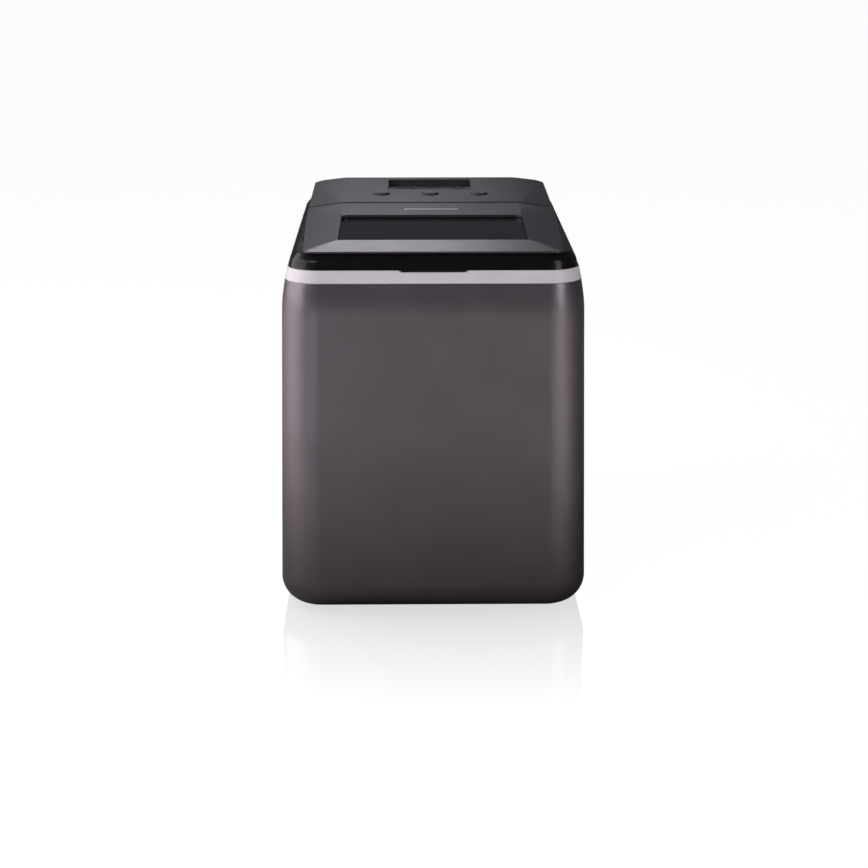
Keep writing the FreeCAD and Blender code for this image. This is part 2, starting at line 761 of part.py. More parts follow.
def bulkhead():
    plate = Piece("partition")
    plate.add("XZ", [rectangle("-108", f"{PAN_TOP}", "108", "283", "2"), circle("-50", "274", "4.6"),
                     circle("50", "274", "4.6"), circle("drain_x", "drain_level", "6.3")],
              "foam_back + 0.3", "foam_back + 1.5")
    node("bulkhead", plate.body)


def drip_plate():
    plate = Piece("drip")
    outline = [("-92", "-143.5", "11"), ("92", "-143.5", "11"), ("92", "21.3", "11"), ("-56", "21.3"), ("-56", "2"),
               ("-92", "2")]
    plate.add("XY", [outline], "124", "127")
    slot = plate.cut("XY", [rectangle("-70", "-134", "70", "-129", "2.4")], "120", "130")
    plate.repeat(slot, "Y", "100", 9)
    legs = [circle(f"{x}", f"{y}", "4") for x in (-84, 84) for y in (-120, -30)]
    plate.add("XY", legs, "bin_floor + bin_wall", "124")
    node("drip_plate", plate.body)


def ice_basket():
    basket = Piece("basket")
    outline = rectangle("-basket_half", "basket_front", "basket_half", "basket_back", "10")
    rim = rectangle("-basket_half - 3", "basket_front - 3", "basket_half + 3", "basket_back + 3", "12")
    inside = rectangle("-basket_half + basket_wall", "basket_front + basket_wall", "basket_half - basket_wall",
                       "basket_back - basket_wall", "8")
    basket.add("XY", [outline], "basket_floor", "basket_top")
    basket.add("XY", [rim], "basket_top - 2", "basket_top")
    basket.cut("XY", [inside], "basket_floor + basket_wall", "basket_top")
    slot = basket.cut("XZ", [rectangle("-70", "140", "-66", "196", "1.9")], "-depth", "0")
    basket.repeat(slot, "X", "136", 13)
    floor_slot = basket.cut("XY", [rectangle("-70", "-130", "-66", "-86", "1.9")], "100", "140")
    basket.repeat(floor_slot, "X", "136", 13)
    node("ice_basket", basket.body)


def evaporator():
    """Plate with nine fingers that dip into the tray. Everything under the plate stays inside the tray's radius."""
    plate = block("evaporator_plate", ("-72", "tray_back - 12", "tray_level + 14"),
                  ("72", "tray_back + 12", "tray_level + 21.9"))
    fingers = []
    for row_y, spots in ((-6.5, (-60, -30, 0, 30, 60)), (6.5, (-45, -15, 15, 45))):
        for x in spots:
            at = (f"{x}", f"tray_back + {row_y}", "finger_tip + finger_radius")
            fingers.append(rod("finger", at, "finger_radius", "tray_level + 16 - finger_tip - finger_radius"))
            tip = doc.addObject("Part::Sphere", "finger_tip")
            tip.setExpression("Radius", bound("finger_radius"))
            fingers.append(place(tip, at))
    node("evaporator", fuse("evaporator_solid", plate, *fingers))
    pipe = tube("evaporator_pipe", [("-50", "52", "262"), ("-50", "52", "274"), ("-50", "tray_back", "274"),
                                    ("50", "tray_back", "274"), ("50", "52", "274"), ("50", "52", "262")], 4, 8)
    node("evaporator_tube", pipe)


def water_tray():
    tray = Piece("tray")
    centre = ("tray_back", "tray_level")
    tray.add("YZ", [circle(*centre, "tray_radius")], "-tray_half", "tray_half")
    tray.cut("YZ", [circle(*centre, "tray_radius - tray_wall")], "-tray_half + 2", "tray_half - 2")
    tray.cut("YZ", [rectangle("tray_back - 40", "tray_level + 2", "tray_back + 40", "tray_level + 40")],
             "-tray_half - 5", "tray_half + 5")
    for low, high in (("tray_half", "90"), ("-90", "-tray_half")):
        tray.add("YZ", [circle(*centre, "3")], low, high)
    node("water_tray", tray.body)


def end_bush(name, low, high, bore_low, bore_high, y, z, radius, bore):
    """A round boss on the bin's side wall with a blind bore for a shaft end."""
    solid = rod(f"{name}_solid", (low, y, z), radius, f"({high}) - ({low})", "x")
    hole = rod(f"{name}_hole", (bore_low, y, z), bore, f"({bore_high}) - ({bore_low})", "x")
    return cut(name, solid, hole)


def tray_drive():
    wall_in = "bin_half - bin_wall - 0.1"
    motor = end_bush("tray_gearmotor", "80.5", wall_in, "80", "90.4", "tray_back", "tray_level", "17", "3.06")
    node("tray_motor", motor)
    return end_bush("tray_end_bush", f"-({wall_in})", "-80.5", "-90.4", "-80", "tray_back", "tray_level", "6", "3.06")


def ice_shovel():
    """A comb on its own shaft that pushes the ice forward into the basket."""
    shaft = rod("shovel_shaft", ("-90", "shovel_back", "shovel_level"), "2.5", "180", "x")
    blade = Piece("shovel_blade")
    blade.add("XZ", [rectangle("-72", "shovel_level - 40", "72", "shovel_level - 1", "3")], "shovel_back - 1",
              "shovel_back + 1")
    gap = blade.cut("XZ", [rectangle("-64", "shovel_level - 45", "-58", "shovel_level - 12", "2")],
                    "shovel_back - 5", "shovel_back + 5")
    blade.repeat(gap, "X", "122", 9)
    node("ice_shovel", fuse("shovel_solid", shaft, blade.body))
    wall_in = "bin_half - bin_wall - 0.1"
    right = end_bush("shovel_bush_right", "85", wall_in, "84", "90.4", "shovel_back", "shovel_level", "5", "2.56")
    left = end_bush("shovel_bush_left", f"-({wall_in})", "-85", "-90.4", "-84", "shovel_back", "shovel_level", "5",
                    "2.56")
    return [right, left]


def shaft_bushes():
    node("shaft_bushes", group("bush_set", [tray_drive(), *ice_shovel()]))


def ice_sensors():
    """A lamp and a receiver face each other across the bin, above the basket."""
    wall_in = "bin_half - bin_wall"
    sensors = []
    for side in (-1, 1):
        low, high = ("88.6", wall_in) if side > 0 else (f"-({wall_in})", "-88.6")
        case = block("sensor_case", (low, "-104", "221"), (high, "-94", "235"))
        eye = rod("sensor_eye", ("87.8" if side > 0 else "-88.7", "-99", "228"), "2.2", "0.9", "x")
        sensors.append(fuse("sensor", case, eye))
    node("ice_sensors", group("sensor_pair", sensors))


PUMP_X, PUMP_Y = "-62", "-2"


def water_pump():
    floor = "(bin_floor + bin_wall + 0.2)"
    base = block("pump_base", ("-80", "-20", floor), ("-44", "16", "80"))
    can = rod("pump_can", (PUMP_X, PUMP_Y, "80"), "13", "24")
    spout = rod("pump_spout", ("-73", "11.6", "80"), "3", "6")
    chamber = rod("pump_chamber", (PUMP_X, PUMP_Y, f"{floor} - 1"), "12", f"78 - {floor} + 1")
    bearing = rod("pump_bearing", (PUMP_X, PUMP_Y, "77"), "1.56", "9")
    intakes = block("pump_intake", (f"{PUMP_X} - 30", f"{PUMP_Y} - 4", floor), (f"{PUMP_X}", f"{PUMP_Y} + 4", "66"))
    node("water_pump", cut("pump", fuse("pump_solid", base, can, spout), chamber, bearing, intakes))
    hub = rod("impeller_hub", (PUMP_X, PUMP_Y, "66"), "4", "10")
    axle = rod("impeller_axle", (PUMP_X, PUMP_Y, "75"), "1.5", "9")
    disc = rod("impeller_disc", (PUMP_X, PUMP_Y, "74"), "10.5", "1.5")
    vanes = []
    for number in range(3):
        vane = doc.addObject("Part::Box", "impeller_vane")
        vane.Length, vane.Width, vane.Height = 20, 1.2, 8
        turn = FreeCAD.Rotation(FreeCAD.Vector(0, 0, 1), number * 60)
        corner = FreeCAD.Vector(value_of(PUMP_X), value_of(PUMP_Y), 67) + turn.multVec(FreeCAD.Vector(-10, -0.6, 0))
        vane.Placement = FreeCAD.Placement(corner, turn)
        vanes.append(vane)
    node("pump_impeller", fuse("impeller_solid", hub, axle, disc, *vanes))
    hose = tube("hose", [("-73", "11.6", "86.3"), ("-73", "11.6", "112"), ("-73", "17.2", "140"),
                         ("-73", "17.2", "257"), ("-73", "0", "257")], 3, 10, 2)
    node("pump_hose", hose)


def float_gauge():
    stem = rod("float_rod", ("60", "0", "74"), "3", "50")
    stop = rod("float_stop", ("60", "0", "73"), "6", "2")
    node("float_stem", fuse("float_stem_solid", stem, stop))
    ring_solid = rod("float_body", ("60", "0", "75.3"), "9", "14")
    hole = rod("float_hole", ("60", "0", "70"), "3.08", "30")
    node("float_ring", cut("float_ring_cut", ring_solid, hole))


# ---------------------------------------------------------------------------------------------------------------
# Machine bay
# ---------------------------------------------------------------------------------------------------------------

COMPRESSOR = ("compressor_x", "compressor_y")


def compressor():
    can = Piece("compressor_can")
    foot = "compressor_foot + 3"
    seam = "compressor_foot + 55"
    can.turned([("0", foot), ("compressor_radius - 2", foot, "14"), ("compressor_radius - 2", seam),
                ("compressor_radius", seam), ("compressor_radius", f"{seam} + 5"), ("compressor_radius - 2", f"{seam} + 5"),
                ("compressor_radius - 2", "compressor_top", "26"), ("0", "compressor_top")])
    place(can.body, (*COMPRESSOR, "0"))
    spots = [(f"compressor_x + {x}", f"compressor_y + {y}") for x in (-46, 46) for y in (-40, 40)]
    foot_plate = Piece("compressor_plate")
    foot_plate.add("XY", [rectangle("compressor_x - 54", "compressor_y - 48", "compressor_x + 54",
                                    "compressor_y + 48", "8")] + [circle(x, y, "5.3") for x, y in spots],
                   "compressor_foot", foot)
    node("compressor", fuse("compressor_solid", can.body, foot_plate.body))
    grommets = []
    bolts = []
    for x, y in spots:
        low = rod("grommet_low", (x, y, PAN_TOP), "8", f"compressor_foot - {PAN_TOP}")
        neck = rod("grommet_neck", (x, y, "compressor_foot - 1"), "5.2", "5")
        cap = rod("grommet_cap", (x, y, "compressor_foot + 3"), "8", "2")
        bore = rod("grommet_bore", (x, y, "0"), "2.6", "60")
        grommets.append(cut("grommet", fuse("grommet_solid", low, neck, cap), bore))
        shank = rod("mount_shank", (x, y, PAN_TOP), "2.5", f"compressor_foot + 9 - {PAN_TOP}")
        head = rod("mount_head", (x, y, "compressor_foot + 5"), "5", "4")
        bolts.append(fuse("mount_bolt", shank, head))
    node("compressor_grommets", group("grommet_set", grommets))
    node("compressor_bolts", group("bolt_set", bolts))
    box = block("terminal_box", ("compressor_x + 34", "compressor_y - 15", "86"),
                ("compressor_x + 59", "compressor_y + 15", "116"))
    shell = rod("terminal_clear", (*COMPRESSOR, "60"), "compressor_radius + 0.1", "80")
    node("terminal_cover", cut("terminal", box, shell))


def condenser():
    """Finned serpentine beside the fan. The tube runs up in five passes."""
    near, far = 46, 160
    levels = (36, 56, 76, 96, 116)
    x = "condenser_x"
    points = [("38", "50", "39.6"), ("38", "50", "23"), (x, f"{near}", "23"), (x, f"{near}", f"{levels[0]}")]
    ends = (far, near)
    for number, level in enumerate(levels):
        points.append((x, f"{ends[number % 2]}", f"{level}"))
        if number + 1 < len(levels):
            points.append((x, f"{ends[number % 2]}", f"{levels[number + 1]}"))
    points.append((x, f"{far}", "134"))
    node("condenser_tube", tube("condenser_pipe", points, 3, 5.5))
    fins = [block("fin", (f"{x} - 11", f"{y}", "26"), (f"{x} + 11", f"{y} + 0.6", "126")) for y in range(58, 146, 4)]
    holes = [rod("fin_hole", (x, "50", f"{level}"), "3.08", "100", "y") for level in levels]
    node("condenser_fins", cut("fin_pack", group("fin_stack", fins), fuse("fin_holes", *holes)))


def fan():
    """Axial fan that blows through the condenser, its axle along X."""
    shroud = Piece("shroud")
    centre = ("fan_y", "fan_level")
    frame = rectangle("fan_y - 46", "fan_level - 46", "fan_y + 46", "fan_level + 46", "5")
    shroud.add("YZ", [frame, circle(*centre, "fan_radius")], "58", "82")
    shroud.add("YZ", [circle(*centre, "17")], "58", "61")
    shroud.add("YZ", [rectangle("fan_y - 3", "fan_level - 44.5", "fan_y + 3", "fan_level + 44.5")], "58", "61")
    shroud.add("YZ", [rectangle("fan_y - 44.5", "fan_level - 3", "fan_y + 44.5", "fan_level + 3")], "58", "61")
    node("fan_shroud", shroud.body)
    can = rod("fan_can", ("61", *centre), "13", "9", "x")
    axle = rod("fan_axle", ("70", *centre), "2", "10", "x")
    node("fan_motor", fuse("fan_motor_solid", can, axle))
    hub = rod("fan_hub", ("72", *centre), "15", "8", "x")
    bore = rod("fan_hub_bore", ("71", *centre), "2.05", "12", "x")
    blades = []
    for number in range(7):
        blade = doc.addObject("Part::Box", "fan_vane")
        blade.Length, blade.Width, blade.Height = 13, 1.4, 26
        spin = FreeCAD.Rotation(FreeCAD.Vector(1, 0, 0), number * 360 / 7)
        pitch = FreeCAD.Rotation(FreeCAD.Vector(0, 0, 1), 38)
        corner = spin.multVec(FreeCAD.Vector(0, 0, 14.6) + pitch.multVec(FreeCAD.Vector(-6.5, -0.7, 0)))
        hub_middle = FreeCAD.Vector(75.5, value_of("fan_y"), value_of("fan_level"))
        blade.Placement = FreeCAD.Placement(hub_middle + corner, spin.multiply(pitch))
        blades.append(blade)
    node("fan_blade", cut("fan_bored", fuse("fan_solid", hub, *blades), bore))


def refrigerant_lines():
    drier = Piece("drier_can")
    drier.turned([("0", "40"), ("9", "40", "7"), ("9", "100", "7"), ("0", "100")])
    place(drier.body, ("38", "50", "0"))
    node("filter_drier", drier.body)
    capillary = tube("capillary", [("38", "50", "100.2"), ("38", "50", "130"), ("50", "52", "160"),
                                   ("50", "52", "261.8")], 1.2, 12)
    node("capillary_tube", capillary)
    suction = tube("suction", [("-50", "52", "261.8"), ("-50", "52", "185"), ("compressor_x", "compressor_y", "178"),
                               ("compressor_x", "compressor_y", "compressor_top + 0.1")], 4, 12)
    node("suction_tube", suction)
    discharge = tube("discharge", [("compressor_x + compressor_radius + 0.1", "compressor_y", "130"),
                                   ("24", "compressor_y", "130"), ("24", "154", "142"), ("condenser_x", "160", "142"),
                                   ("condenser_x", "160", "134.2")], 3, 5)
    node("discharge_tube", discharge)
    body = block("valve_body", ("62", "62", "160"), ("78", "78", "176"))
    coil = rod("valve_coil", ("70", "70", "176"), "12", "22")
    stubs = rod("valve_stubs", ("50", "70", "168"), "3", "40", "x")
    node("hot_gas_valve", fuse("valve_solid", body, coil, stubs))


def electronics():
    tray = Piece("board_tray")
    tray.add("XY", [rectangle("-75", "62", "75", "152", "4")], "206", "262")
    tray.cut("XY", [rectangle("-73", "64", "73", "150", "3")], "208", "262")
    posts = [circle(f"{x}", f"{y}", "3") for x in (-60, 60) for y in (74, 140)]
    tray.add("XY", posts, "208", "216")
    arms = [rectangle("-75", "foam_back + 1.5", "-68", "62"), rectangle("68", "foam_back + 1.5", "75", "62")]
    tray.add("XY", arms, "206", "226")
    node("board_tray", tray.body)
    board = block("main_pcb", ("-68", "67", "216"), ("68", "147", "217.6"))
    transformer = block("transformer", ("-56", "84", "217.6"), ("-24", "112", "242"))
    relays = [block("relay", (f"{x}", "120", "217.6"), (f"{x} + 18", "136", "234")) for x in (-12, 10, 32)]
    cans = [rod("capacitor", (f"{x}", "90", "217.6"), "7", "24") for x in (14, 34)]
    sockets = [block("socket", (f"{x}", "70", "217.6"), (f"{x} + 16", "77", "226")) for x in (-30, -8, 14)]
    node("main_board", fuse("main_board_solid", board, transformer, *relays, *cans, *sockets))


def drain():
    pipe = rod("drain_outer", ("drain_x", "bin_back - bin_wall", "drain_level"), "6", "136", "y")
    flange = rod("drain_flange", ("drain_x", "157", "drain_level"), "11", "2", "y")
    bore = rod("drain_bore", ("drain_x", "0", "drain_level"), "4", "180", "y")
    joined = fuse("drain_solid", pipe, flange)
    node("drain_pipe", cut("drain", joined, bore))
    stem = rod("cap_stem", ("drain_x", "143", "drain_level"), "3.92", "17", "y")
    head = rod("cap_head", ("drain_x", "159.2", "drain_level"), "8.5", "12", "y")
    node("drain_cap", fuse("cap_solid", stem, head))


def cord_gland():
    barrel = rod("gland_barrel", ("gland_x", "158", "gland_level"), "7.9", "12.5", "y")
    flange = rod("gland_flange", ("gland_x", "170.5", "gland_level"), "11", "1.8", "y")
    bore = rod("gland_hole", ("gland_x", "150", "gland_level"), "gland_bore", "30", "y")
    node("cord_gland", cut("gland", fuse("gland_solid", barrel, flange), bore))


for make in (body_shell, base_pan, rubber_feet, rear_panel, rear_screws, trim_band, top_frame, lid_shell, lid_window,
             lid_liner, lid_seal, lid_mark, hinge, control_cover, buttons, button_board, display, inner_tub, tub_foam,
             bulkhead, drip_plate, ice_basket, evaporator, water_tray, shaft_bushes, ice_sensors, water_pump,
             float_gauge, compressor, condenser, fan, refrigerant_lines, electronics, drain, cord_gland):
    make()
side_grille("side_grille_right", 1)
side_grille("side_grille_left", -1)

doc.recompute()

# ---------------------------------------------------------------------------------------------------------------
# Checks and export
# ---------------------------------------------------------------------------------------------------------------

failed = [item.Name for item in doc.Objects if "Invalid" in item.State or "Error" in item.State]
if failed:
    raise SystemExit(f"these objects did not compute: {failed}")

os.makedirs("parts", exist_ok=True)
for label, item in nodes.items():
    shape = item.Shape
    if shape.isNull() or not shape.isValid() or not shape.Solids:
        raise SystemExit(f"{label} has no valid solid")
for label, item in nodes.items():
    item.Shape.exportStep(f"parts/{label}.step")
print(f"{len(nodes)} pieces written")
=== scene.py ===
"""Looks of a countertop ice maker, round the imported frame. Lengths are in metres; the front faces -Y."""

import json
import math

import bmesh
import bpy
from mathutils import Matrix, Vector


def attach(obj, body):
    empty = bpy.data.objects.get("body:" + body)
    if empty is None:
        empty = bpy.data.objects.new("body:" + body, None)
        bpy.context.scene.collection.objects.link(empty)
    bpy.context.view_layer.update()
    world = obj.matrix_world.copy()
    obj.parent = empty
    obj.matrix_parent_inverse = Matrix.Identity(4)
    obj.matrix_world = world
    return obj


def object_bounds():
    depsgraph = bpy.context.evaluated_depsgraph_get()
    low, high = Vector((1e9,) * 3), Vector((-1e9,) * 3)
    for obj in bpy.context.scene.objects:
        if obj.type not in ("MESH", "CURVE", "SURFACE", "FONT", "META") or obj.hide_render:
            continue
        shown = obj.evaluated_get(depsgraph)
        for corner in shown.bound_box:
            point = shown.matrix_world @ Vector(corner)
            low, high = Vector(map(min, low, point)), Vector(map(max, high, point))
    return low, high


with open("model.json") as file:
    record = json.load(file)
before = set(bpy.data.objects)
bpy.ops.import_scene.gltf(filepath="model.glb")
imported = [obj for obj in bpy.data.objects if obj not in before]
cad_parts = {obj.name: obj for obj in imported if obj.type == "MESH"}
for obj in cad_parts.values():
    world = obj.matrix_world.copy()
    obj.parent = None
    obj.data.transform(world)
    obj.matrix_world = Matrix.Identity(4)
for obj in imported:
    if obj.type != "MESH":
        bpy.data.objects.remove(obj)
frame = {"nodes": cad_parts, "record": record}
NODES = frame["nodes"]
cad_low, cad_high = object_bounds()
FRONT = cad_low.y

# --------------------------------------------------------------------------------------------------
# Camera, floor and lights
# --------------------------------------------------------------------------------------------------

CAMERA_DISTANCE = 1.5921
CAMERA_HEIGHT = 0.5706
CAMERA_SIDE = -0.0204
CAMERA_PITCH = 12.42
CAMERA_YAW = -0.74
LENS = 86.93
SENSOR = 36
SHIFT_UP = -0.1
LIGHT_TARGET = (0, 0, 0.16)
POOL_LEAN = 0.001
STUDIO_COLOUR = (0.9, 0.9, 1)
STUDIO_GLOW = 0.07
WARM = (1.0, 0.93, 0.94)
COOL = (0.97, 0.97, 1.0)


def make_camera():
    data = bpy.data.cameras.new("camera")
    data.lens = LENS
    data.sensor_width = SENSOR
    data.shift_y = SHIFT_UP
    camera = bpy.data.objects.new("camera", data)
    camera.location = (CAMERA_SIDE, FRONT - CAMERA_DISTANCE, CAMERA_HEIGHT)
    camera.rotation_euler = (math.radians(90 - CAMERA_PITCH), 0, math.radians(CAMERA_YAW))
    bpy.context.scene.collection.objects.link(camera)
    bpy.context.scene.camera = camera


def softbox(name, azimuth, distance, height, wide, tall, power, colour, target=LIGHT_TARGET):
    """A rectangular light of a power in watts. Azimuth 0 is in front of the object, positive to the right."""
    data = bpy.data.lights.new(name, "AREA")
    data.energy = power
    data.color = colour
    data.shape = "RECTANGLE"
    data.size = wide
    data.size_y = tall
    light = bpy.data.objects.new(name, data)
    angle = math.radians(azimuth)
    light.location = (distance * math.sin(angle), -distance * math.cos(angle), height)
    direction = Vector(target) - light.location
    light.rotation_euler = direction.to_track_quat("-Z", "Y").to_euler()
    bpy.context.scene.collection.objects.link(light)
    return light


def floor_pool(name, receivers, azimuth, distance, height, wide, tall, power, colour):
    """A light straight above the floor that shines on the floor alone, for the object to mirror."""
    angle = math.radians(azimuth)
    spot = (distance * math.sin(angle), -distance * math.cos(angle) + POOL_LEAN, 0)
    light = softbox(name, azimuth, distance, height, wide, tall, power, colour, spot)
    light.light_linking.receiver_collection = receivers


def keep_off(light, items):
    """Let a light pass over the glossy panes, which would mirror it as a white sheet."""
    skipped = bpy.data.collections.new(light.name + "_skips")
    for item in items:
        skipped.objects.link(item)
    for entry in skipped.collection_objects:
        entry.light_linking.link_state = "EXCLUDE"
    light.light_linking.receiver_collection = skipped


def make_lights(floor):
    panes = [NODES["lid_window"], NODES["display_lens"]]
    keep_off(softbox("left_box", -86, 1.15, 0.62, 1.7, 0.9, 12, WARM), panes)
    keep_off(softbox("right_box", 42, 1.3, 0.62, 0.35, 0.8, 3, WARM), panes)
    softbox("front_box", -30, 1.5, 1.2, 0.5, 0.45, 4, COOL, (0, 0, 0.25))
    softbox("back_box", 184, 1.5, 1.3, 0.42, 0.25, 3.3, COOL, (0, 0, 0.3))
    receivers = bpy.data.collections.new("floor_only")
    receivers.objects.link(floor)
    floor_pool("front_pool", receivers, -20, 1.35, 0.3, 0.16, 0.5, 5.6, COOL)
    floor_pool("left_pool", receivers, -82, 1.1, 0.6, 1.7, 0.6, 30, WARM)
    floor_pool("right_pool", receivers, 43, 1.0, 0.4, 0.3, 0.7, 11, WARM)


def link_new(tree, kind, **inputs):
    node = tree.nodes.new(kind)
    for name, value in inputs.items():
        node.inputs[name].default_value = value
    return node


def map_range(tree, source, start, end, low, high):
    """Turn start..end of a source into low..high, held at both ends."""
    node = tree.nodes.new("ShaderNodeMapRange")
    for name, value in (("From Min", start), ("From Max", end), ("To Min", low), ("To Max", high)):
        node.inputs[name].default_value = value
    tree.links.new(source, node.inputs["Value"])
    return node.outputs["Result"]


def make_world():
    """White seen directly or in the floor's mirror; a dim studio in the object's own reflections."""
    world = bpy.data.worlds.new("world")
    world.use_nodes = True
    tree = world.node_tree
    tree.nodes.clear()
    path = tree.nodes.new("ShaderNodeLightPath")
    seen = tree.nodes.new("ShaderNodeMath")
    seen.operation = "MAXIMUM"
    tree.links.new(path.outputs["Is Camera Ray"], seen.inputs[0])
    tree.links.new(path.outputs["Is Singular Ray"], seen.inputs[1])
    studio = link_new(tree, "ShaderNodeBackground", Color=(*STUDIO_COLOUR, 1), Strength=STUDIO_GLOW)
    white = link_new(tree, "ShaderNodeBackground", Color=(1, 1, 1, 1), Strength=1.0)
    mix = tree.nodes.new("ShaderNodeMixShader")
    tree.links.new(seen.outputs[0], mix.inputs[0])
    tree.links.new(studio.outputs[0], mix.inputs[1])
    tree.links.new(white.outputs[0], mix.inputs[2])
    out = tree.nodes.new("ShaderNodeOutputWorld")
    tree.links.new(mix.outputs[0], out.inputs[0])
    bpy.context.scene.world = world
    bpy.context.scene.view_settings.view_transform = "Standard"


FLOOR_HALF = 14.0
FLOOR_DROP = 0.0003
FLOOR_GLOW = 0.97
# Painted shadow on the floor round the object, seen only in the object's reflections and in the light the
# floor throws back: the floor's albedo close to the object and far off.
FLOOR_PAINTED_SHADOW = 0.06
FLOOR_FAR = 0.6
FLOOR_MATT = 0.06
# Distances from the object over which the painted shadow fades out.
PAINTED_SHADOW_START = 0.3
PAINTED_SHADOW_END = 1.5
FLOOR_MIRROR = 0.3
MIRROR_START = 0.17
MIRROR_END = 0.42


def make_floor():
    """A pale, faintly mirroring floor that throws little light back up; in what the object sees of it, a
    painted shadow darkens the floor near the object.
    """
    mesh = bpy.data.meshes.new("floor")
    corners = [(x * FLOOR_HALF, y * FLOOR_HALF, 0) for x, y in ((-1, -1), (1, -1), (1, 1), (-1, 1))]
    mesh.from_pydata(corners, [], [(0, 1, 2, 3)])
    floor = bpy.data.objects.new("floor", mesh)
    floor.location.z = -FLOOR_DROP
    bpy.context.scene.collection.objects.link(floor)
    pale = bpy.data.materials.new("floor_pale")
    pale.use_nodes = True
    tree = pale.node_tree
    tree.nodes.clear()
    glow = link_new(tree, "ShaderNodeEmission", Color=(1, 1, 1, 1), Strength=FLOOR_GLOW)
    matt = link_new(tree, "ShaderNodeBsdfDiffuse", Color=(FLOOR_MATT, FLOOR_MATT, FLOOR_MATT, 1))
    lit = tree.nodes.new("ShaderNodeAddShader")
    tree.links.new(glow.outputs[0], lit.inputs[0])
    tree.links.new(matt.outputs[0], lit.inputs[1])
    mirror = link_new(tree, "ShaderNodeBsdfGlossy", Color=(1, 1, 1, 1), Roughness=0.0)
    pale_mix = tree.nodes.new("ShaderNodeMixShader")
    tree.links.new(lit.outputs[0], pale_mix.inputs[1])
    tree.links.new(mirror.outputs[0], pale_mix.inputs[2])
    place = tree.nodes.new("ShaderNodeTexCoord")
    reach = tree.nodes.new("ShaderNodeVectorMath")
    reach.operation = "LENGTH"
    tree.links.new(place.outputs["Object"], reach.inputs[0])
    # Painted shadow: the floor's albedo rises from dark near the object to pale far off, so the lower body
    # mirrors a darker floor.
    painted_shadow = map_range(tree, reach.outputs["Value"], PAINTED_SHADOW_START, PAINTED_SHADOW_END, FLOOR_PAINTED_SHADOW, FLOOR_FAR)
    fade = map_range(tree, reach.outputs["Value"], MIRROR_START, MIRROR_END, FLOOR_MIRROR, 0)
    tree.links.new(fade, pale_mix.inputs[0])
    # Diffuse floor carrying the painted shadow, for every ray but the camera's.
    dim = tree.nodes.new("ShaderNodeBsdfDiffuse")
    tree.links.new(painted_shadow, dim.inputs["Color"])
    path = tree.nodes.new("ShaderNodeLightPath")
    seen = tree.nodes.new("ShaderNodeMixShader")
    tree.links.new(path.outputs["Is Camera Ray"], seen.inputs[0])
    tree.links.new(dim.outputs[0], seen.inputs[1])
    tree.links.new(pale_mix.outputs[0], seen.inputs[2])
    out = tree.nodes.new("ShaderNodeOutputMaterial")
    tree.links.new(seen.outputs[0], out.inputs[0])
    mesh.materials.append(pale)
    return floor


# --------------------------------------------------------------------------------------------------
# Materials
# --------------------------------------------------------------------------------------------------


class Surface:
    """A procedural material. Its patterns use object coordinates in metres, so their scale is real."""

    def __init__(self, name):
        self.material = bpy.data.materials.new(name)
        self.material.use_nodes = True
        self.tree = self.material.node_tree
        self.shader = self.tree.nodes["Principled BSDF"]
        self.coordinates = self.tree.nodes.new("ShaderNodeTexCoord").outputs["Object"]

    def link(self, source, target):
        self.tree.links.new(source, target)

    def set(self, **values):
        for name, value in values.items():
            self.shader.inputs[name.replace("_", " ")].default_value = value

    def noise(self, scale, detail=3.0, stretch=(1, 1, 1), roughness=0.5):
        """Noise with a given number of features per metre, stretched along the axes."""
        mapping = self.tree.nodes.new("ShaderNodeMapping")
        mapping.inputs["Scale"].default_value = stretch
        self.link(self.coordinates, mapping.inputs["Vector"])
        noise = self.tree.nodes.new("ShaderNodeTexNoise")
        noise.inputs["Scale"].default_value = scale
        noise.inputs["Detail"].default_value = detail
        noise.inputs["Roughness"].default_value = roughness
        self.link(mapping.outputs["Vector"], noise.inputs["Vector"])
        return noise.outputs["Fac"]

    def spread(self, source, low, high, start=0.3, end=0.7):
        return map_range(self.tree, source, start, end, low, high)

    def blend(self, factor, first, second):
        node = self.tree.nodes.new("ShaderNodeMix")
        node.data_type = "RGBA"
        node.inputs["A"].default_value = (*first, 1)
        node.inputs["B"].default_value = (*second, 1)
        self.link(factor, node.inputs["Factor"])
        return node.outputs["Result"]

    def colour(self, base, variation=0.05, scale=25.0, stretch=(1, 1, 1)):
        """Base colour that drifts a little lighter and darker over the surface."""
        drift = self.spread(self.noise(scale, 4, stretch), 0, 1)
        darker = tuple(c * (1 - variation) for c in base)
        lighter = tuple(min(1, c * (1 + variation)) for c in base)
        self.link(self.blend(drift, darker, lighter), self.shader.inputs["Base Color"])

    def rough(self, low, high, scale=60.0, stretch=(1, 1, 1)):
        self.link(self.spread(self.noise(scale, 4, stretch), low, high), self.shader.inputs["Roughness"])

    def bump(self, scale, depth, detail=2.0, stretch=(1, 1, 1)):
        """Relief of a given depth in metres."""
        node = self.tree.nodes.new("ShaderNodeBump")
        node.inputs["Distance"].default_value = depth
        node.inputs["Strength"].default_value = 1.0
        self.link(self.noise(scale, detail, stretch), node.inputs["Height"])
        self.link(node.outputs["Normal"], self.shader.inputs["Normal"])


COAT_ROUGH = 0.12
ACRYLIC_IOR = 1.49
TRACKS_PER_METRE = 160
TRACK_START = 0.02
TRACK_END = 0.06


def paint(name, base, low, high, metallic=0.0, grain=(2500, 0.000004), coat=0.0, shine=0.5):
    """Sprayed or moulded skin: slight colour drift, uneven gloss and fine relief."""
    surface = Surface(name)
    surface.colour(base)
    surface.rough(low, high)
    surface.bump(*grain)
    surface.set(Metallic=metallic, Specular_IOR_Level=shine)
    if coat:
        surface.set(Coat_Weight=coat, Coat_Roughness=COAT_ROUGH)
    return surface.material


